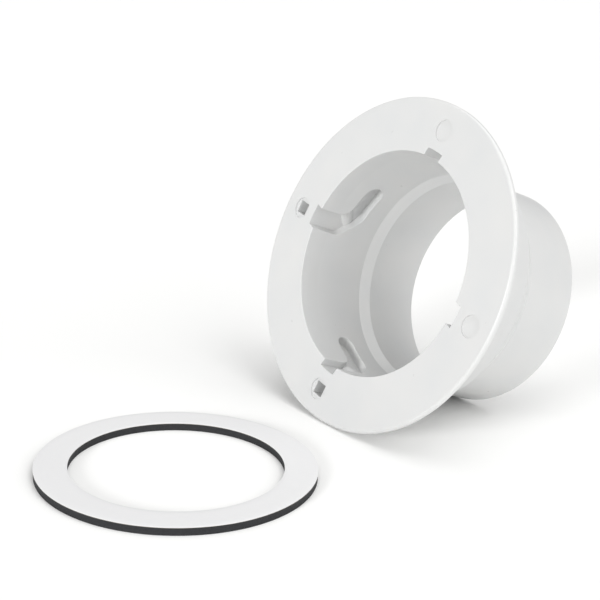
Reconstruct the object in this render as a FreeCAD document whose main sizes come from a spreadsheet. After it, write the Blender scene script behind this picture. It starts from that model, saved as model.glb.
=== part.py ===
# Toilet flange with a loose self-adhesive foam gasket.
# The flange is one white moulding: a flat mounting disc, a thick collar that holds four
# twist-lock slots, a sloping shoulder and a thinner pipe socket behind it.  It lies on its
# side, on the edge of the disc and on the end of the socket.  The gasket lies flat in front:
# a foam ring, a film of adhesive on its top face and a release liner over the film.
# Units are millimetres and degrees.  +Z is up, the floor is Z = 0, and the origin is the
# middle of the footprint.  The flange's own frame has its origin at the middle of the front
# face and +Z out of that face, so everything behind the face has a negative Z.
import FreeCAD, Part
import math
import os
import Sketcher

V = FreeCAD.Vector
X_AXIS, Z_AXIS = V(1, 0, 0), V(0, 0, 1)

# Driving dimensions: alias, value, meaning.
SIZES = [
    ("disc_thickness", "3", "front face to back face"),
    ("rim_front_round", "1.3", "rounding of the front outer edge"),
    ("rim_back_round", "0.5", "rounding of the back outer edge"),
    ("socket_bore", "111.8", "bore diameter of the pipe socket"),
    ("socket_wall", "3.15", "wall of the socket"),
    ("lead_in", "0.8", "chamfer on the socket's inner end edge"),
    ("shoulder_step", "2.8", "radial step from the mouth's bore down to the socket's"),
    ("mouth_land", "12", "straight stretch of the mouth's bore behind the front face"),
    ("mouth_taper", "1.3", "how much the bore radius shrinks from there to the shoulder"),
    ("mouth_round", "0.4", "rounding of the bore's front edge"),
    ("shoulder_depth", "43.7", "front face to the top of the shoulder"),
    ("shoulder_length", "5.9", "depth that the sloping shoulder takes"),
    ("overall_length", "85.2", "front face to the end of the socket"),
    ("end_chamfer", "0.5", "chamfer on the socket's outer end edge"),
    ("collar_behind", "5.9", "collar left behind a slot's deepest edge"),
    ("collar_cone", "12", "depth that the cone behind the collar takes"),
    ("collar_wall", "3", "wall left behind a slot's floor"),
    ("collar_round", "1.5", "fillet between the collar and the disc"),
    ("slot_count", "4", "twist-lock slots, and as many bolt recesses"),
    ("slot_sink", "4.2", "a slot's floor behind the bore's front edge"),
    ("slot_mouth", "11.3", "width of a slot at the front face"),
    ("slot_turn", "19", "front face to where the far side starts to turn"),
    ("slot_slope", "3", "slope of the locking stretch"),
    ("slot_width", "10.7", "width of the locking stretch"),
    ("slot_reach", "28.3", "middle of the mouth to the closed end, along the bore"),
    ("slot_depth", "26.7", "front face to the middle of the closed end"),
    ("slot_corner", "5.5", "middle of the mouth to the far side's lower corner"),
    ("slot_corner_round", "12", "rounding of that corner"),
    ("slot_turn_round", "8", "rounding where the far side starts to turn"),
    ("slot_edge_round", "8", "rounding of the near side's corner"),
    ("slot_lip_round", "0.35", "rounding where a slot breaks through the bore"),
    ("detent_height", "2", "height of the round ridge that a lug snaps over"),
    ("detent_round", "5", "rounding of that ridge"),
    ("detent_place", "8", "middle of the mouth to the ridge, along the bore"),
    ("detent_depth", "20.5", "front face to the middle of the ridge"),
    ("detent_turn", "56", "angle between the ridge and the flange's axis"),
    ("bolt_offset", "8", "outside of the collar to the circle of the bolt recesses"),
    ("rim_margin", "13.8", "that circle to the edge of the disc"),
    ("recess_bore", "11.6", "diameter of the round recesses for the bolts"),
    ("recess_sink", "1", "depth of that recess"),
    ("bolt_square", "6.8", "side of a square bolt hole"),
    ("open_holes", "2", "recesses with a square hole and a boss; the others are blind"),
    ("boss_wall", "1.8", "wall of the boss behind a square hole, beside the flats"),
    ("boss_depth", "9", "front face to the end of that boss"),
    ("clocking", "-10.8", "angle of the first slot, seen from the front"),
    ("gasket_outer", "134.8", "outside of the foam ring"),
    ("gasket_inner", "102.8", "hole of the foam ring"),
    ("foam_thickness", "3.6", "thickness of the foam"),
    ("film_thickness", "0.12", "thickness of the adhesive film"),
    ("liner_thickness", "0.15", "thickness of the release liner"),
    ("gasket_gap", "30.3", "floor left between the disc and the gasket"),
    ("gasket_aside", "9.2", "how far the gasket lies off the flange's middle plane"),
]

# Sizes that follow from the driving ones: alias, formula, meaning.
FOLLOWING = [
    ("socket_radius", "socket_bore / 2", "bore behind the shoulder"),
    ("tube_radius", "socket_radius + socket_wall", "outside of the socket"),
    ("mouth_radius", "socket_radius + shoulder_step + mouth_taper", "bore at the front face"),
    ("floor_radius", "mouth_radius + slot_sink", "floor of the slots"),
    ("collar_radius", "floor_radius + collar_wall", "outside of the collar"),
    ("bolt_radius", "collar_radius + bolt_offset", "circle of the bolt recesses"),
    ("disc_radius", "bolt_radius + rim_margin", "outside of the mounting disc"),
    ("boss_radius", "bolt_square / 2 + boss_wall", "outside of the boss"),
    ("slot_shift", "slot_reach * 0.4", "mouth's middle to the slot's middle plane"),
    ("slot_rise", "tan(slot_slope * 1deg)", "rise of the locking stretch per millimetre"),
    ("slot_drop", "slot_width / 2 / cos(slot_slope * 1deg)", "its half width, straight down"),
    ("collar_back", "slot_depth + slot_drop + collar_behind", "back of the thick collar"),
    ("end_x", "slot_width / 2 - slot_reach", "middle of the closed end, along the bore"),
    ("tip_x", "end_x - slot_width / 2 * cos(slot_slope * 1deg)", "corners of the end"),
    ("lean_x", "slot_width / 2 * sin(slot_slope * 1deg)", "how far those corners lean"),
    ("rest_run", "overall_length - end_chamfer - disc_thickness + rim_back_round",
     "between the flange's two resting edges, along its axis"),
    ("rest_drop", "disc_radius - rim_back_round - tube_radius", "the same, across its axis"),
    ("tilt", "(acos(-rim_back_round / hypot(rest_run; rest_drop))"
     " - atan(rest_run / rest_drop)) / 1deg", "how far the axis of the lying flange dips"),
    ("face_height", "(overall_length - end_chamfer) * sin(tilt * 1deg)"
     " + tube_radius * cos(tilt * 1deg)", "middle of the front face above the floor"),
    ("flange_front", "rim_front_round * (cos(tilt * 1deg) - 1)"
     " - (disc_radius - rim_front_round) * sin(tilt * 1deg)", "foremost edge, from that middle"),
    ("flange_back", "overall_length * cos(tilt * 1deg)"
     " + (tube_radius - end_chamfer) * sin(tilt * 1deg)", "hindmost edge, from that middle"),
    ("footprint_front", "flange_front - gasket_gap - gasket_outer", "gasket's front edge"),
    ("face_y", "-(footprint_front + flange_back) / 2", "front face's middle in the row"),
    ("gasket_y", "face_y + footprint_front + gasket_outer / 2", "gasket's middle in the row"),
    ("liner_base", "foam_thickness + film_thickness", "underside of the liner"),
]


# ---------------------------------------------------------------- the sheet
doc = FreeCAD.newDocument("toilet_flange")
sheet = doc.addObject("Spreadsheet::Sheet", "Sizes")
for row, (alias, entry, meaning) in enumerate(SIZES + FOLLOWING, start=1):
    followed = row > len(SIZES)
    sheet.set(f"A{row}", meaning)
    sheet.set(f"B{row}", f"={entry}" if followed else entry)
    sheet.setAlias(f"B{row}", alias)
    if followed:
        doc.recompute()
doc.recompute()


def rule(text):
    """An expression on the sheet, from a text with cell names in braces."""
    return text.replace("{", "Sizes.").replace("}", "")


def value(text):
    """What such a text comes to."""
    return float(sheet.evalExpression(rule(text)))


# ---------------------------------------------------------------- small helpers
def origin_part(body, role):
    """The body's own origin plane or axis with the given role."""
    return next(f for f in body.Origin.OriginFeatures if f.Role == role)


def new_sketch(body, name, role):
    """A sketch on one of the body's origin planes."""
    sketch = body.newObject("Sketcher::SketchObject", name)
    sketch.AttachmentSupport = [(origin_part(body, role), "")]
    sketch.MapMode = "FlatFace"
    return sketch


def fix_point(sketch, geometry, position, x_text, y_text):
    """Ties both coordinates of a point to the sheet."""
    for kind, text in (("DistanceX", x_text), ("DistanceY", y_text)):
        distance = Sketcher.Constraint(kind, -1, 1, geometry, position, value(text))
        index = sketch.addConstraint(distance)
        sketch.setExpression(f"Constraints[{index}]", rule(text))


def add_outline(sketch, corners):
    """A closed outline of straight lines; each corner is a pair of texts."""
    points = [V(value(x_text), value(y_text), 0) for x_text, y_text in corners]
    for start, end in zip(points, points[1:] + points[:1]):
        sketch.addGeometry(Part.LineSegment(start, end), False)
    for i, (x_text, y_text) in enumerate(corners):
        following = (i + 1) % len(corners)
        sketch.addConstraint(Sketcher.Constraint("Coincident", i, 2, following, 1))
        fix_point(sketch, i, 1, x_text, y_text)


def add_circle(sketch, radius_text, x_text="0"):
    """A circle with its middle on the sketch's X axis."""
    circle = Part.Circle(V(value(x_text), 0, 0), Z_AXIS, value(radius_text))
    number = sketch.addGeometry(circle, False)
    radius = Sketcher.Constraint("Radius", number, value(radius_text))
    index = sketch.addConstraint(radius)
    sketch.setExpression(f"Constraints[{index}]", rule(radius_text))
    fix_point(sketch, number, 3, x_text, "0")


def ring_edges(shape, radius, depth):
    """Names of the circles about the flange's axis with this radius at this depth."""
    names = []
    for number, edge in enumerate(shape.Edges, start=1):
        if not isinstance(edge.Curve, Part.Circle):
            continue
        centre = edge.Curve.Center
        off_axis = math.hypot(centre.x, centre.y)
        off_size = abs(edge.Curve.Radius - radius) + abs(centre.z + depth)
        if off_axis < 1e-6 and off_size < 1e-4:
            names.append(f"Edge{number}")
    return names


def long_edges(shape, x, y):
    """Names of the straight edges along X that pass through this Y and Z."""
    names = []
    for number, edge in enumerate(shape.Edges, start=1):
        ends = [vertex.Point for vertex in edge.Vertexes]
        if len(ends) == 2 and all(math.hypot(p.y - x, p.z - y) < 1e-4 for p in ends):
            names.append(f"Edge{number}")
    return names


def soften(body, kind, name, names, amount):
    """A fillet or chamfer on named edges of the body's newest feature."""
    if not names:
        raise RuntimeError(f"{name} finds no edge")
    base = body.Tip
    feature = body.newObject(f"PartDesign::{kind}", name)
    feature.Base = (base, names)
    feature.setExpression("Radius" if kind == "Fillet" else "Size", rule(amount))
    doc.recompute()


def soften_ring(body, kind, name, radius, depth, amount):
    """A fillet or chamfer on one ring edge."""
    names = ring_edges(body.Tip.Shape, value(radius), value(depth))
    soften(body, kind, name, names, amount)


def cut_pocket(body, sketch, name, length):
    """A pocket that is turned round if it points away from the solid."""
    doc.recompute()
    before = body.Shape.Volume
    pocket = body.newObject("PartDesign::Pocket", name)
    pocket.Profile = sketch
    pocket.setExpression("Length", rule(length))
    doc.recompute()
    if body.Shape.Volume > before - 1e-3:
        pocket.Reversed = True
        doc.recompute()
    if body.Shape.Volume > before - 1e-3:
        raise RuntimeError(f"{name} cuts nothing")
    return pocket


def turn_about_axis(body, name, originals, count="{slot_count}", sweep="360deg",
                    whole_body=False):
    """Repeats features, or the whole body, at equal steps about the flange's axis."""
    pattern = body.newObject("PartDesign::PolarPattern", name)
    pattern.Originals = originals
    pattern.Axis = (origin_part(body, "Z_Axis"), [""])
    pattern.setExpression("Angle", rule(sweep))
    pattern.setExpression("Occurrences", rule(count))
    if whole_body:
        pattern.TransformMode = "Whole shape"
    body.Tip = pattern
    doc.recompute()


def turn(obj, axis, angle):
    """Turns an object about an axis through its origin, by a text for an angle."""
    obj.Placement = FreeCAD.Placement(V(), FreeCAD.Rotation(axis, 1))
    obj.setExpression("Placement.Rotation.Angle", rule(angle))


def move(obj, x_text, y_text, z_text):
    """Puts an object's origin at a place in the row."""
    for name, text in (("x", x_text), ("y", y_text), ("z", z_text)):
        obj.setExpression(f"Placement.Base.{name}", rule(text))


# ---------------------------------------------------------------- flange: turned blank
def make_blank():
    """Disc, collar, shoulder and socket, with their softened edges, recesses and holes."""
    body = doc.addObject("PartDesign::Body", "FlangeBlank")
    profile = new_sketch(body, "BlankProfile", "XZ_Plane")
    add_outline(profile, [
        ("{mouth_radius}", "0"),
        ("{disc_radius}", "0"),
        ("{disc_radius}", "-{disc_thickness}"),
        ("{collar_radius}", "-{disc_thickness}"),
        ("{collar_radius}", "-{collar_back}"),
        ("{tube_radius}", "-{collar_back} - {collar_cone}"),
        ("{tube_radius}", "-{overall_length}"),
        ("{socket_radius}", "-{overall_length}"),
        ("{socket_radius}", "-{shoulder_depth} - {shoulder_length}"),
        ("{mouth_radius} - {mouth_taper}", "-{shoulder_depth}"),
        ("{mouth_radius}", "-{mouth_land}"),
    ])
    turned = body.newObject("PartDesign::Revolution", "BlankTurned")
    turned.Profile = profile
    turned.ReferenceAxis = (profile, ["V_Axis"])
    turned.Angle = 360
    doc.recompute()

    thick, back = "{disc_thickness}", "{overall_length}"
    soften_ring(body, "Fillet", "RimFront", "{disc_radius}", "0", "{rim_front_round}")
    soften_ring(body, "Fillet", "RimBack", "{disc_radius}", thick, "{rim_back_round}")
    soften_ring(body, "Fillet", "CollarFoot", "{collar_radius}", thick, "{collar_round}")
    soften_ring(body, "Fillet", "MouthEdge", "{mouth_radius}", "0", "{mouth_round}")
    soften_ring(body, "Chamfer", "SocketEdge", "{tube_radius}", back, "{end_chamfer}")
    soften_ring(body, "Chamfer", "LeadIn", "{socket_radius}", back, "{lead_in}")

    open_sweep = "360deg * ({open_holes} - 1) / {slot_count}"
    boss = new_sketch(body, "BossSketch", "XY_Plane")
    add_circle(boss, "{boss_radius}", "-{bolt_radius}")
    boss_pad = body.newObject("PartDesign::Pad", "Boss")
    boss_pad.Profile = boss
    boss_pad.setExpression("Length", rule("{boss_depth}"))
    boss_pad.Reversed = True
    turn_about_axis(body, "Bosses", [boss_pad], "{open_holes}", open_sweep)

    recess = new_sketch(body, "RecessSketch", "XY_Plane")
    add_circle(recess, "{recess_bore} / 2", "{bolt_radius}")
    recess_cut = cut_pocket(body, recess, "Recess", "{recess_sink}")
    turn_about_axis(body, "Recesses", [recess_cut])

    square = new_sketch(body, "SquareSketch", "XY_Plane")
    near, far = "-{bolt_radius} + {bolt_square} / 2", "-{bolt_radius} - {bolt_square} / 2"
    low, high = "-{bolt_square} / 2", "{bolt_square} / 2"
    add_outline(square, [(far, low), (near, low), (near, high), (far, high)])
    square_cut = cut_pocket(body, square, "Square", "{boss_depth}")
    turn_about_axis(body, "Squares", [square_cut], "{open_holes}", open_sweep)
    turn(body, Z_AXIS, "{clocking} * 1deg")
    return body


# ---------------------------------------------------------------- flange: twist-lock slots
def make_slot_former():
    """The room of the four slots.  One slot's outline is drawn on the plane that its
    middle faces: Y runs along the bore and Z up to the front face.  A mouth goes straight
    in, then the slot swings towards -Y and deeper, to a round closed end."""
    body = doc.addObject("PartDesign::Body", "SlotFormer")
    sketch = new_sketch(body, "SlotOutline", "YZ_Plane")
    deep_line = "-{slot_depth} - {slot_drop} + {slot_rise} * "
    near_line = "-{slot_depth} + {slot_drop} + {slot_rise} * "
    corners = {
        "open far": ("{slot_shift} + {slot_mouth} / 2", "{disc_thickness}"),
        "open near": ("{slot_shift} - {slot_mouth} / 2", "{disc_thickness}"),
        "near turn": ("{slot_shift} - {slot_mouth} / 2",
                      near_line + "(-{slot_mouth} / 2 - {end_x})"),
        "near end": ("{slot_shift} + {tip_x} - {lean_x}",
                     near_line + "({tip_x} - {lean_x} - {end_x})"),
        "deep end": ("{slot_shift} + {tip_x} + {lean_x}",
                     deep_line + "({tip_x} + {lean_x} - {end_x})"),
        "deep corner": ("{slot_shift} - {slot_corner}", deep_line + "(-{slot_corner} - {end_x})"),
        "far turn": ("{slot_shift} + {slot_mouth} / 2", "-{slot_turn}"),
    }
    add_outline(sketch, list(corners.values()))
    pad = body.newObject("PartDesign::Pad", "SlotRoom")
    pad.Profile = sketch
    pad.setExpression("Length", rule("{collar_radius}"))
    doc.recompute()

    rounds = [
        ("near end", "{slot_width} / 2 - 0.05"),
        ("deep end", "{slot_width} / 2 - 0.05"),
        ("deep corner", "{slot_corner_round}"),
        ("near turn", "{slot_edge_round}"),
        ("far turn", "{slot_turn_round}"),
    ]
    for corner, amount in rounds:
        y_text, z_text = corners[corner]
        names = long_edges(body.Tip.Shape, value(y_text), value(z_text))
        soften(body, "Fillet", "Round" + corner.title().replace(" ", ""), names, amount)

    ridge = new_sketch(body, "RidgeSketch", "XY_Plane")
    ridge.AttachmentOffset = FreeCAD.Placement(V(), FreeCAD.Rotation(X_AXIS, 1))
    lean = "sin({detent_turn} * 1deg) * {slot_width}"
    climb = "cos({detent_turn} * 1deg) * {slot_width}"
    offset = "AttachmentOffset."
    ridge.setExpression(offset + "Base.y", rule("{slot_shift} - {detent_place} - " + lean))
    ridge.setExpression(offset + "Base.z", rule(climb + " - {detent_depth}"))
    ridge.setExpression(offset + "Rotation.Angle", rule("{detent_turn} * 1deg"))
    add_circle(ridge, "{detent_round}", "{floor_radius} - {detent_height} + {detent_round}")
    cut_pocket(body, ridge, "Ridge", "{slot_width} * 2")
    turn_about_axis(body, "SlotRooms", [], whole_body=True)
    turn(body, Z_AXIS, "{clocking} * 1deg - asin({slot_shift} / {mouth_radius})")
    return body


def slot_lips(shape):
    """Numbers of the edges where the slots break through the bore."""
    bore, narrowest = value("{mouth_radius}"), value("{mouth_radius} - {mouth_taper}")
    deepest, foremost = -value("{slot_depth} + {slot_width}"), -value("{mouth_round}") * 0.9
    numbers = []
    for number, edge in enumerate(shape.Edges, start=1):
        middle = edge.valueAt((edge.FirstParameter + edge.LastParameter) / 2)
        on_bore = narrowest - 0.1 < math.hypot(middle.x, middle.y) < bore + 0.01
        if on_bore and deepest < middle.z < foremost:
            numbers.append(number)
    return numbers


def make_flange():
    """The blank with the slots cut as deep as their round floor, lying on its side."""
    blank = make_blank()
    former = make_slot_former()
    floor = doc.addObject("Part::Cylinder", "SlotFloor")
    floor.setExpression("Radius", rule("{floor_radius}"))
    floor.setExpression("Height", rule("{overall_length}"))
    floor.setExpression("Placement.Base.z", rule("{disc_thickness} - {overall_length}"))
    rooms = doc.addObject("Part::Common", "SlotSpace")
    rooms.Base = former
    rooms.Tool = floor
    slotted = doc.addObject("Part::Cut", "SlottedBlank")
    slotted.Base = blank
    slotted.Tool = rooms
    doc.recompute()
    flange = doc.addObject("Part::Fillet", "Flange")
    flange.Base = slotted
    lip_round = value("{slot_lip_round}")
    flange.Edges = [(number, lip_round, lip_round) for number in slot_lips(slotted.Shape)]
    flange.Label = "flange_body"
    turn(flange, X_AXIS, "90deg - {tilt} * 1deg")
    move(flange, "0", "{face_y}", "{face_height}")
    return flange


# ---------------------------------------------------------------- gasket: foam, film, liner
def make_ring(name, label, thickness, base):
    """One flat ring of the gasket, from the floor height base upwards."""
    body = doc.addObject("PartDesign::Body", name)
    body.Label = label
    sketch = new_sketch(body, name + "Outline", "XY_Plane")
    add_circle(sketch, "{gasket_outer} / 2")
    add_circle(sketch, "{gasket_inner} / 2")
    pad = body.newObject("PartDesign::Pad", name + "Pad")
    pad.Profile = sketch
    pad.setExpression("Length", rule(thickness))
    move(body, "{gasket_aside}", "{gasket_y}", base)
    doc.recompute()
    return body


def make_gasket():
    """The three layers of the gasket, floor upwards."""
    foam = make_ring("Foam", "gasket_foam", "{foam_thickness}", "0")
    film = make_ring("Film", "adhesive_film", "{film_thickness}", "{foam_thickness}")
    liner = make_ring("Liner", "release_liner", "{liner_thickness}", "{liner_base}")
    return [foam, film, liner]


# ---------------------------------------------------------------- build, test and write
def check_document():
    """Stops at any object that failed to build."""
    for item in doc.Objects:
        if {"Invalid", "Error"} & set(item.State):
            raise RuntimeError(f"{item.Name} did not build: {item.State}")


def write(parts):
    """Writes each sub-part to its own file, after testing its shape."""
    os.makedirs("parts", exist_ok=True)
    for item in parts:
        shape = item.Shape
        if shape.isNull() or not shape.isValid() or len(shape.Solids) != 1:
            raise RuntimeError(f"{item.Label} has no sound solid")
        shape.exportStep(f"parts/{item.Label}.step")
        print(f"{item.Label}: {shape.Volume / 1000:.2f} cm3")


parts = [make_flange()] + make_gasket()
doc.recompute()
check_document()
write(parts)
print(f"tilt {value('{tilt}'):.3f}, face at y {value('{face_y}'):.3f} z {value('{face_height}'):.3f}")
print(f"gasket at x {value('{gasket_aside}'):.3f} y {value('{gasket_y}'):.3f}")
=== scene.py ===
"""A white plastic toilet flange lying on its side, with its loose foam gasket in front.

The flange keeps its construction mesh and gets a moulded-plastic finish.  The three layers
of the gasket, foam, adhesive film and release liner, are modelled here in Geometry Nodes.
"""
import math

import bpy
from mathutils import Matrix, Vector


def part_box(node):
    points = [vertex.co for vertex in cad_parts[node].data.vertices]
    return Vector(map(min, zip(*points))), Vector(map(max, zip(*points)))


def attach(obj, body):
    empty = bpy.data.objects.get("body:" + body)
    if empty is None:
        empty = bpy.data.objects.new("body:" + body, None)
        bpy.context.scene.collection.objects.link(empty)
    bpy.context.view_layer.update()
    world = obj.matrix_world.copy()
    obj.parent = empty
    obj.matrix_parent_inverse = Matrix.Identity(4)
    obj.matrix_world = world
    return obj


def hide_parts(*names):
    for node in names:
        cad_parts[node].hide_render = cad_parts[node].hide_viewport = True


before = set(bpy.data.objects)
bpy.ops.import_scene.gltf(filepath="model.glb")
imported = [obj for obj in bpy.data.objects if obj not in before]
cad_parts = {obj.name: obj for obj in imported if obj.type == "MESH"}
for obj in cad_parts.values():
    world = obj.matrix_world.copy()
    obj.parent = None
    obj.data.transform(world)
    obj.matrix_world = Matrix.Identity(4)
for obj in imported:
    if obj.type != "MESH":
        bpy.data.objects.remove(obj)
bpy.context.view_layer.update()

bl_info = {
    "name": "Toilet Flange",
    "version": (1, 0, 0),
    "blender": (4, 5, 0),
    "location": "View3D > Sidebar > Flange",
    "description": "Finishes a toilet flange and models its self-adhesive foam gasket",
    "category": "Object",
}

MM = 0.001
FLAT_SEGMENT = 1.0 * MM     # length of a facet round a flat layer
FOAM_SEGMENT = 0.4 * MM     # and round the foam, shorter than one of its cells
FLAT_EDGE = 0.2             # rounding of a flat layer's edges, as a share of its thickness
SENSOR_WIDTH = 36           # of the camera, in millimetres
FLOOR_HALF = 8.0            # middle of the floor to its edges, in metres


# ---------------------------------------------------------------- places taken from the frame
def ring_place(node):
    """(middle on the floor plan, outer radius, underside, thickness) of a flat ring node."""
    low, high = (Vector(corner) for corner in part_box(node))
    middle = (low + high) / 2
    return Vector((middle.x, middle.y, 0)), (high.x - low.x) / 2, low.z, high.z - low.z


RING_MIDDLE, RING_OUTER, FOAM_BASE, FOAM_THICKNESS = ring_place("gasket_foam")
FILM_BASE, FILM_THICKNESS = ring_place("adhesive_film")[2:]
LINER_BASE, LINER_THICKNESS = ring_place("release_liner")[2:]


# ---------------------------------------------------------------- settings
class FlangeSettings(bpy.types.PropertyGroup):
    """The white moulding."""
    plastic: bpy.props.StringProperty(
        name="Plastic", description="Colour of the moulding", default="#DADAD9")
    plastic_shade: bpy.props.StringProperty(
        name="Plastic Shade", description="Its slightly greyer patches", default="#D6D7D7")
    gloss_low: bpy.props.FloatProperty(
        name="Smoothest", description="Roughness where the moulding is polished",
        default=0.26, min=0, max=1, subtype="FACTOR")
    gloss_high: bpy.props.FloatProperty(
        name="Roughest", description="Roughness where the moulding is satin",
        default=0.40, min=0, max=1, subtype="FACTOR")
    grain: bpy.props.FloatProperty(
        name="Grain", description="Spacing of the fine moulded grain",
        default=0.7 * MM, subtype="DISTANCE", unit="LENGTH")
    peel: bpy.props.FloatProperty(
        name="Orange Peel", description="Spacing of the orange peel",
        default=3 * MM, subtype="DISTANCE", unit="LENGTH")
    sink: bpy.props.FloatProperty(
        name="Sink", description="Spacing of the faint unevenness of a cooled moulding",
        default=18 * MM, subtype="DISTANCE", unit="LENGTH")


class GasketSettings(bpy.types.PropertyGroup):
    """The foam ring, its adhesive and its liner."""
    hole: bpy.props.FloatProperty(
        name="Hole", description="Diameter of the ring's hole",
        default=102.8 * MM, subtype="DISTANCE", unit="LENGTH")
    foam: bpy.props.StringProperty(
        name="Foam", description="Colour of the foam", default="#242528")
    # the foam's colour darkened as painted shade at the bottom of each cut cell
    painted_cell_shade: bpy.props.StringProperty(
        name="Foam Cells", description="Colour inside the cut cells", default="#131416")
    cell: bpy.props.FloatProperty(
        name="Cell Size", description="Diameter of a cell of the foam",
        default=0.55 * MM, subtype="DISTANCE", unit="LENGTH")
    cell_depth: bpy.props.FloatProperty(
        name="Cell Depth", description="How deep the die left the cut cells",
        default=0.09 * MM, subtype="DISTANCE", unit="LENGTH")
    pinch: bpy.props.FloatProperty(
        name="Pinch", description="How far the die pressed the cut sides in at mid height",
        default=0.22 * MM, subtype="DISTANCE", unit="LENGTH")
    foam_edge: bpy.props.FloatProperty(
        name="Foam Edge", description="Rounding of the foam's edges",
        default=0.22 * MM, subtype="DISTANCE", unit="LENGTH")
    adhesive: bpy.props.StringProperty(
        name="Adhesive", description="Colour of the adhesive film", default="#8E8A80")
    paper: bpy.props.StringProperty(
        name="Paper", description="Colour of the release liner", default="#E9E9E9")
    paper_fibre: bpy.props.StringProperty(
        name="Paper Fibres", description="Its slightly darker fibres", default="#E3E3E4")
    wave: bpy.props.FloatProperty(
        name="Wave", description="How far the liner lifts off the adhesive in its slow waves",
        default=0.12 * MM, subtype="DISTANCE", unit="LENGTH")
    wave_length: bpy.props.FloatProperty(
        name="Wave Length", description="Spacing of those waves",
        default=24 * MM, subtype="DISTANCE", unit="LENGTH")
    seed: bpy.props.IntProperty(
        name="Seed", description="Seed of everything random on the gasket", default=4)


class StageSettings(bpy.types.PropertyGroup):
    """Floor, lights and camera."""
    floor: bpy.props.StringProperty(
        name="Floor", description="Colour of the floor", default="#FAFAF9")
    camera_offset: bpy.props.FloatVectorProperty(
        name="Camera", description="Where the camera stands, from the middle of the flange",
        default=(0.5178, -0.4879, 0.1852), subtype="TRANSLATION", unit="LENGTH")
    heading: bpy.props.FloatProperty(
        name="Heading", description="Turn of the view from +Y towards -X",
        default=math.radians(52.19), subtype="ANGLE", unit="ROTATION")
    pitch: bpy.props.FloatProperty(
        name="Pitch", description="How far the view looks down",
        default=math.radians(16.76), subtype="ANGLE", unit="ROTATION")
    roll: bpy.props.FloatProperty(
        name="Roll", description="Turn of the view about its own line",
        default=math.radians(2.59), subtype="ANGLE", unit="ROTATION")
    lens: bpy.props.FloatProperty(
        name="Lens", description="Focal length on a 36 mm sensor", default=82.3)
    world_light: bpy.props.FloatProperty(
        name="Surroundings", description="Strength of the light from all round", default=0.38)
    front_light: bpy.props.FloatProperty(
        name="Front Light", description="Strength of the light from in front", default=1.6)
    side_light: bpy.props.FloatProperty(
        name="Side Light", description="Strength of the light from the side", default=1.2)
    top_light: bpy.props.FloatProperty(
        name="Top Light", description="Strength of the light from above", default=1.15)


# ---------------------------------------------------------------- small helpers
def linear(hex_text):
    """An sRGB hex colour as a linear RGBA tuple."""
    channels = [int(hex_text[i:i + 2], 16) / 255 for i in (1, 3, 5)]
    straight = [c / 12.92 if c <= 0.04045 else ((c + 0.055) / 1.055) ** 2.4 for c in channels]
    return (*straight, 1)


def add_node(tree, kind, feeds=None, **settings):
    """Adds a node with its settings; feeds gives each input a value or an output socket."""
    node = tree.nodes.new(kind)
    for name, setting in settings.items():
        setattr(node, name, setting)
    for socket, feed in (feeds or {}).items():
        if isinstance(feed, bpy.types.NodeSocket):
            tree.links.new(feed, node.inputs[socket])
        else:
            node.inputs[socket].default_value = feed
    return node


def new_material(name):
    """(material, tree, principled shader, object coordinates) of a fresh node material."""
    material = bpy.data.materials.new(name)
    material.use_nodes = True
    tree = material.node_tree
    place = add_node(tree, "ShaderNodeTexCoord").outputs["Object"]
    return material, tree, tree.nodes["Principled BSDF"], place


# ---------------------------------------------------------------- materials
STREAK = 4 * MM             # spacing of the streaks that coating left in the adhesive
FIBRE_CLUMP = 1.5 * MM      # size of a clump of paper fibres
ROLLER_NAP = 3 * MM         # spacing of the marks of a paint roller


def white_moulded_abs(settings):
    """Injection-moulded white ABS: a clean satin gloss, with the slow unevenness of a wall
    that cooled, a slight orange peel that softens highlights, and the tool's fine grain, which is drawn
    coarser than it is because the real one would not show."""
    material, tree, shader, place = new_material("White moulded ABS")
    cloudy = add_node(tree, "ShaderNodeTexNoise", {
        "Vector": place, "Scale": 1 / settings.sink, "Detail": 1, "Roughness": 0.4})
    tone = add_node(tree, "ShaderNodeMapRange", {
        "Value": cloudy.outputs["Fac"], "From Min": 0.2, "From Max": 0.8})
    colour = add_node(tree, "ShaderNodeMix", {
        0: tone.outputs["Result"], 6: linear(settings.plastic),
        7: linear(settings.plastic_shade)}, data_type="RGBA")
    peel = add_node(tree, "ShaderNodeTexNoise", {
        "Vector": place, "Scale": 1 / settings.peel, "Detail": 1, "Roughness": 0.3})
    grain = add_node(tree, "ShaderNodeTexNoise", {
        "Vector": place, "Scale": 1 / settings.grain, "Detail": 2, "Roughness": 0.6})
    rough = add_node(tree, "ShaderNodeMapRange", {
        "Value": peel.outputs["Fac"], "From Min": 0.1, "From Max": 0.9,
        "To Min": settings.gloss_low, "To Max": settings.gloss_high})
    slow = add_node(tree, "ShaderNodeBump", {
        "Height": peel.outputs["Fac"], "Strength": 0.1, "Distance": 0.1 * MM})
    fine = add_node(tree, "ShaderNodeBump", {
        "Height": grain.outputs["Fac"], "Strength": 0.08, "Distance": 0.03 * MM,
        "Normal": slow.outputs["Normal"]})
    tree.links.new(colour.outputs[2], shader.inputs["Base Color"])
    tree.links.new(rough.outputs["Result"], shader.inputs["Roughness"])
    tree.links.new(fine.outputs["Normal"], shader.inputs["Normal"])
    shader.inputs["IOR"].default_value = 1.52
    return material


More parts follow.
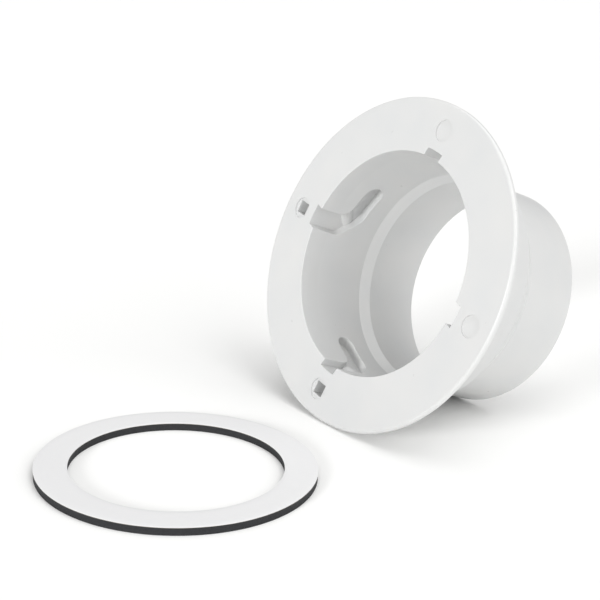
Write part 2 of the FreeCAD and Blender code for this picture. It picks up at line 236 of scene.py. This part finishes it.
def black_cell_foam(settings):
    """Black closed-cell foam with die-cut sides: matt skin walls round cut cells, whose pitted insides
    are darkened with painted shade.
    """
    material, tree, shader, place = new_material("Black closed-cell foam")
    cells = add_node(tree, "ShaderNodeTexVoronoi", {
        "Vector": place, "Scale": 1 / settings.cell}, feature="F1")
    # 0 at the middle of a cell, 1 at its rim: the pit's depth for the bump, and the amount of painted
    #                                          shade for the colour
    pit_depth_and_shade = add_node(tree, "ShaderNodeMapRange", {
        "Value": cells.outputs["Distance"], "From Min": 0.15, "From Max": 0.6})
    colour = add_node(tree, "ShaderNodeMix", {
        0: pit_depth_and_shade.outputs["Result"], 6: linear(settings.painted_cell_shade),
        7: linear(settings.foam)}, data_type="RGBA")
    bump = add_node(tree, "ShaderNodeBump", {
        "Height": pit_depth_and_shade.outputs["Result"], "Strength": 0.6, "Distance": 0.12 * MM})
    tree.links.new(colour.outputs[2], shader.inputs["Base Color"])
    tree.links.new(bump.outputs["Normal"], shader.inputs["Normal"])
    shader.inputs["Roughness"].default_value = 0.72
    shader.inputs["IOR"].default_value = 1.5
    return material


def acrylic_adhesive(settings):
    """Acrylic transfer adhesive: a wet gloss, in a milky straw grey that hides the foam."""
    material, tree, shader, place = new_material("Acrylic transfer adhesive")
    streaks = add_node(tree, "ShaderNodeTexNoise", {
        "Vector": place, "Scale": 1 / STREAK, "Detail": 4})
    rough = add_node(tree, "ShaderNodeMapRange", {
        "Value": streaks.outputs["Fac"], "To Min": 0.12, "To Max": 0.3})
    bump = add_node(tree, "ShaderNodeBump", {
        "Height": streaks.outputs["Fac"], "Strength": 0.3, "Distance": 0.1 * MM})
    tree.links.new(rough.outputs["Result"], shader.inputs["Roughness"])
    tree.links.new(bump.outputs["Normal"], shader.inputs["Normal"])
    shader.inputs["Base Color"].default_value = linear(settings.adhesive)
    shader.inputs["IOR"].default_value = 1.47
    return material


def siliconed_paper(settings):
    """Silicone-coated release paper: white, smooth and faintly satin, with short fibres."""
    material, tree, shader, place = new_material("Siliconed release paper")
    fibres = add_node(tree, "ShaderNodeTexNoise", {
        "Vector": place, "Scale": 1 / FIBRE_CLUMP, "Detail": 5, "Roughness": 0.7,
        "Distortion": 1.5})
    colour = add_node(tree, "ShaderNodeMix", {
        0: fibres.outputs["Fac"], 6: linear(settings.paper), 7: linear(settings.paper_fibre)},
        data_type="RGBA")
    bump = add_node(tree, "ShaderNodeBump", {
        "Height": fibres.outputs["Fac"], "Strength": 0.15, "Distance": 0.04 * MM})
    tree.links.new(colour.outputs[2], shader.inputs["Base Color"])
    tree.links.new(bump.outputs["Normal"], shader.inputs["Normal"])
    shader.inputs["Roughness"].default_value = 0.48
    shader.inputs["IOR"].default_value = 1.45
    return material


def painted_floor(settings):
    """A matt painted sweep: no gloss, only a trace of roller texture."""
    material, tree, shader, place = new_material("Matt painted floor")
    roller = add_node(tree, "ShaderNodeTexNoise", {
        "Vector": place, "Scale": 1 / ROLLER_NAP, "Detail": 2})
    rough = add_node(tree, "ShaderNodeMapRange", {
        "Value": roller.outputs["Fac"], "To Min": 0.85, "To Max": 1.0})
    tree.links.new(rough.outputs["Result"], shader.inputs["Roughness"])
    shader.inputs["Base Color"].default_value = linear(settings.floor)
    return material


# ---------------------------------------------------------------- Geometry Nodes
def tree_input(tree, name, kind, default=None):
    """Adds a named input to a node group."""
    socket = tree.interface.new_socket(name, in_out="INPUT", socket_type=kind)
    if default is not None:
        socket.default_value = default
    return socket


RING_TREE = "Die-cut ring"
# so high a power leaves only the outermost few percent of the ring's width pressed in
SIDE_SHARPNESS = 60.0


def ring_tree():
    """A die-cut ring: a rounded strip swept round a circle.  Its sides are pressed in at mid
    height and pitted by cut cells, and it can lift in slow waves off what it lies on."""
    tree = bpy.data.node_groups.new(RING_TREE, "GeometryNodeTree")
    for name in ("Inner Radius", "Outer Radius", "Base", "Thickness", "Edge Round", "Pinch",
                 "Cell Size", "Cell Depth", "Wave", "Wave Length", "Segment"):
        tree_input(tree, name, "NodeSocketFloat")
    tree_input(tree, "Middle", "NodeSocketVector")
    tree_input(tree, "Seed", "NodeSocketInt", 0)
    tree_input(tree, "Material", "NodeSocketMaterial")
    tree.interface.new_socket("Geometry", in_out="OUTPUT", socket_type="NodeSocketGeometry")
    given = add_node(tree, "NodeGroupInput").outputs

    def maths(operation, first, second=0.0, third=0.0):
        feeds = {0: first, 1: second, 2: third}
        return add_node(tree, "ShaderNodeMath", feeds, operation=operation).outputs[0]

    middle_radius = maths("MULTIPLY", maths("ADD", given["Inner Radius"], given["Outer Radius"]), 0.5)
    width = maths("SUBTRACT", given["Outer Radius"], given["Inner Radius"])
    around = maths("DIVIDE", maths("MULTIPLY", given["Outer Radius"], math.tau), given["Segment"])
    path = add_node(tree, "GeometryNodeCurvePrimitiveCircle", {
        "Resolution": around, "Radius": middle_radius}, mode="RADIUS")
    strip = add_node(tree, "GeometryNodeCurvePrimitiveQuadrilateral", {
        "Width": width, "Height": given["Thickness"]}, mode="RECTANGLE")
    rounded = add_node(tree, "GeometryNodeFilletCurve", {
        "Curve": strip.outputs["Curve"], "Radius": given["Edge Round"], "Count": 3}, mode="POLY")
    profile = add_node(tree, "GeometryNodeSubdivideCurve", {
        "Curve": rounded.outputs["Curve"], "Cuts": 4})
    swept = add_node(tree, "GeometryNodeCurveToMesh", {
        "Curve": path.outputs["Curve"], "Profile Curve": profile.outputs["Curve"]})

    position = add_node(tree, "GeometryNodeInputPosition").outputs[0]
    parts = add_node(tree, "ShaderNodeSeparateXYZ", {0: position}).outputs
    flat = add_node(tree, "ShaderNodeCombineXYZ", {0: parts["X"], 1: parts["Y"]}).outputs[0]
    radius = add_node(tree, "ShaderNodeVectorMath", {0: flat}, operation="LENGTH").outputs["Value"]
    outward = add_node(tree, "ShaderNodeVectorMath", {0: flat}, operation="NORMALIZE").outputs[0]
    # 1 at the outer side, -1 at the inner side, and near 0 between them
    side = maths("DIVIDE", maths("SUBTRACT", radius, middle_radius), maths("MULTIPLY", width, 0.5))
    at_side = maths("POWER", maths("ABSOLUTE", side), SIDE_SHARPNESS)
    height = maths("DIVIDE", parts["Z"], maths("MULTIPLY", given["Thickness"], 0.5))
    hollow = maths("SUBTRACT", 1.0, maths("MULTIPLY", height, height))
    cells = add_node(tree, "ShaderNodeTexVoronoi", {
        "Vector": position, "Scale": maths("DIVIDE", 1.0, given["Cell Size"]),
        "W": given["Seed"]}, voronoi_dimensions="4D", feature="F1")
    pit = maths("MULTIPLY", maths("SUBTRACT", 1.0, cells.outputs["Distance"]), given["Cell Depth"])
    inward = maths("MULTIPLY", maths("MULTIPLY_ADD", hollow, given["Pinch"], pit), at_side)
    inward = maths("MULTIPLY", inward, maths("SIGN", side))
    pressed = add_node(tree, "ShaderNodeVectorMath", {
        0: outward, "Scale": maths("MULTIPLY", inward, -1.0)}, operation="SCALE").outputs[0]

    waves = add_node(tree, "ShaderNodeTexNoise", {
        "Vector": flat, "Scale": maths("DIVIDE", 1.0, given["Wave Length"]), "Detail": 0.0,
        "W": given["Seed"]}, noise_dimensions="4D")
    lift = maths("MULTIPLY", waves.outputs["Fac"], given["Wave"])
    raised = add_node(tree, "ShaderNodeCombineXYZ", {2: lift}).outputs[0]
    shift = add_node(tree, "ShaderNodeVectorMath", {0: pressed, 1: raised}, operation="ADD")
    shaped = add_node(tree, "GeometryNodeSetPosition", {
        "Geometry": swept.outputs["Mesh"], "Offset": shift.outputs[0]})

    rise = maths("MULTIPLY_ADD", given["Thickness"], 0.5, given["Base"])
    seat = add_node(tree, "ShaderNodeCombineXYZ", {2: rise}).outputs[0]
    place = add_node(tree, "ShaderNodeVectorMath", {0: given["Middle"], 1: seat}, operation="ADD")
    seated = add_node(tree, "GeometryNodeTransform", {
        "Geometry": shaped.outputs["Geometry"], "Translation": place.outputs[0]})
    real = add_node(tree, "GeometryNodeRealizeInstances", {"Geometry": seated.outputs["Geometry"]})
    finished = add_node(tree, "GeometryNodeSetMaterial", {
        "Geometry": real.outputs["Geometry"], "Material": given["Material"]})
    add_node(tree, "NodeGroupOutput", {"Geometry": finished.outputs["Geometry"]})
    return tree


def mesh_from_tree(name, tree, values):
    """An object at the origin whose plain mesh is what the tree makes of these inputs."""
    holder = bpy.data.objects.new(name + "_maker", bpy.data.meshes.new(name + "_maker"))
    bpy.context.collection.objects.link(holder)
    modifier = holder.modifiers.new("Shape", "NODES")
    modifier.node_group = tree
    for item in tree.interface.items_tree:
        if item.name in values:
            modifier[item.identifier] = values[item.name]
    holder.update_tag()
    graph = bpy.context.evaluated_depsgraph_get()
    mesh = bpy.data.meshes.new_from_object(holder.evaluated_get(graph))
    holder.modifiers.remove(modifier)
    bpy.data.objects.remove(holder)
    if not mesh.polygons:
        raise RuntimeError(f"{name} came out empty")
    mesh.name = name
    piece = bpy.data.objects.new(name, mesh)
    bpy.context.collection.objects.link(piece)
    return piece


def ring_piece(name, material, base, thickness, **changes):
    """A ring of the gasket's plan on its own layer."""
    gasket = bpy.context.scene.gasket_settings
    values = {
        "Inner Radius": gasket.hole / 2, "Outer Radius": RING_OUTER, "Base": base,
        "Thickness": thickness, "Edge Round": thickness * FLAT_EDGE, "Pinch": 0.0,
        "Cell Size": gasket.cell, "Cell Depth": 0.0, "Wave": 0.0,
        "Wave Length": gasket.wave_length, "Segment": FLAT_SEGMENT, "Middle": RING_MIDDLE,
        "Seed": gasket.seed, "Material": material}
    values.update(changes)
    tree = bpy.data.node_groups.get(RING_TREE) or ring_tree()
    return mesh_from_tree(name, tree, values)


# ---------------------------------------------------------------- operators
class FLANGE_OT_flange(bpy.types.Operator):
    """Gives the one-piece flange its moulded plastic finish"""
    bl_idname = "flange.flange"
    bl_label = "Finish Flange"

    def execute(self, context):
        material = white_moulded_abs(context.scene.flange_settings)
        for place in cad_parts["flange_body"].material_slots:
            place.material = material
        return {"FINISHED"}


class FLANGE_OT_foam(bpy.types.Operator):
    """Models the foam ring with its pressed, cell-pitted sides"""
    bl_idname = "flange.foam"
    bl_label = "Foam Ring"

    def execute(self, context):
        gasket = context.scene.gasket_settings
        foam = ring_piece(
            "foam_ring", black_cell_foam(gasket), FOAM_BASE, FOAM_THICKNESS,
            **{"Edge Round": gasket.foam_edge, "Pinch": gasket.pinch,
               "Cell Depth": gasket.cell_depth, "Segment": FOAM_SEGMENT})
        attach(foam, "gasket")
        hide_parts("gasket_foam")
        return {"FINISHED"}


class FLANGE_OT_adhesive(bpy.types.Operator):
    """Models the film of adhesive on the foam"""
    bl_idname = "flange.adhesive"
    bl_label = "Adhesive Film"

    def execute(self, context):
        gasket = context.scene.gasket_settings
        film = ring_piece("adhesive_layer", acrylic_adhesive(gasket), FILM_BASE, FILM_THICKNESS)
        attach(film, "gasket")
        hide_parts("adhesive_film")
        return {"FINISHED"}


class FLANGE_OT_liner(bpy.types.Operator):
    """Models the release liner, which lies in slow waves on the adhesive"""
    bl_idname = "flange.liner"
    bl_label = "Release Liner"

    def execute(self, context):
        gasket = context.scene.gasket_settings
        liner = ring_piece(
            "liner_sheet", siliconed_paper(gasket), LINER_BASE, LINER_THICKNESS,
            Wave=gasket.wave)
        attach(liner, "liner")
        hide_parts("release_liner")
        return {"FINISHED"}


# Where each light comes from, and its spread in degrees.  The front light looks nearly
# straight into the mouth, so that it reaches the shoulder behind it.
FRONT_FROM = (0.26, -0.92, 0.28)
SIDE_FROM = (0.8, 0.2, 0.5)
TOP_FROM = (0.1, 0.1, 1)
FRONT_SPREAD = 16
FILL_SPREAD = 60


def soft_sun(name, towards, strength, spread):
    """An even light that comes from a direction; spread is in degrees."""
    data = bpy.data.lights.new(name, "SUN")
    data.energy = strength
    data.angle = math.radians(spread)
    light = bpy.data.objects.new(name, data)
    light.rotation_euler = Vector(towards).to_track_quat("Z", "Y").to_euler()
    bpy.context.collection.objects.link(light)


class FLANGE_OT_stage(bpy.types.Operator):
    """Sets up the floor, the soft lights and the camera"""
    bl_idname = "flange.stage"
    bl_label = "Stage"

    def execute(self, context):
        stage = context.scene.stage_settings
        mesh = bpy.data.meshes.new("floor")
        corners = [(-FLOOR_HALF, -FLOOR_HALF, 0), (FLOOR_HALF, -FLOOR_HALF, 0),
                   (FLOOR_HALF, FLOOR_HALF, 0), (-FLOOR_HALF, FLOOR_HALF, 0)]
        mesh.from_pydata(corners, [], [(0, 1, 2, 3)])
        mesh.materials.append(painted_floor(stage))
        floor = bpy.data.objects.new("floor", mesh)
        context.collection.objects.link(floor)

        world = bpy.data.worlds.new("Studio")
        world.use_nodes = True
        background = world.node_tree.nodes["Background"]
        background.inputs["Color"].default_value = linear("#FFFFFF")
        background.inputs["Strength"].default_value = stage.world_light
        context.scene.world = world
        soft_sun("Front light", FRONT_FROM, stage.front_light, FRONT_SPREAD)
        soft_sun("Side light", SIDE_FROM, stage.side_light, FILL_SPREAD)
        soft_sun("Top light", TOP_FROM, stage.top_light, FILL_SPREAD)

        data = bpy.data.cameras.new("Camera")
        data.lens = stage.lens
        data.sensor_width = SENSOR_WIDTH
        data.clip_start = 0.01
        camera = bpy.data.objects.new("Camera", data)
        turn = Matrix.Rotation(stage.heading, 4, "Z")
        dip = Matrix.Rotation(math.pi / 2 - stage.pitch, 4, "X")
        lean = Matrix.Rotation(stage.roll, 4, "Z")
        low, high = (Vector(corner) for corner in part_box("flange_body"))
        camera_place = (low + high) / 2 + Vector(stage.camera_offset)
        camera.matrix_world = Matrix.Translation(camera_place) @ turn @ dip @ lean
        context.collection.objects.link(camera)
        context.scene.camera = camera
        context.scene.view_settings.view_transform = "Standard"
        return {"FINISHED"}


# ---------------------------------------------------------------- panel and registration
SETTINGS = {
    "flange_settings": FlangeSettings,
    "gasket_settings": GasketSettings,
    "stage_settings": StageSettings,
}
OPERATORS = (FLANGE_OT_flange, FLANGE_OT_foam, FLANGE_OT_adhesive, FLANGE_OT_liner,
             FLANGE_OT_stage)


class FLANGE_PT_sidebar(bpy.types.Panel):
    """Lists the steps and the settings that each one reads"""
    bl_label = "Toilet Flange"
    bl_idname = "FLANGE_PT_sidebar"
    bl_space_type = "VIEW_3D"
    bl_region_type = "UI"
    bl_category = "Flange"

    def draw(self, context):
        for operator in OPERATORS:
            self.layout.operator(operator.bl_idname)
        for name, group in SETTINGS.items():
            box = self.layout.box()
            for setting in group.__annotations__:
                box.prop(getattr(context.scene, name), setting)


CLASSES = (*SETTINGS.values(), *OPERATORS, FLANGE_PT_sidebar)


def register():
    for item in CLASSES:
        bpy.utils.register_class(item)
    for name, group in SETTINGS.items():
        setattr(bpy.types.Scene, name, bpy.props.PointerProperty(type=group))


def unregister():
    for name in SETTINGS:
        delattr(bpy.types.Scene, name)
    for item in reversed(CLASSES):
        bpy.utils.unregister_class(item)


def main():
    register()
    bpy.ops.flange.flange()
    bpy.ops.flange.foam()
    bpy.ops.flange.adhesive()
    bpy.ops.flange.liner()
    bpy.ops.flange.stage()


if __name__ == "__main__":
    main()
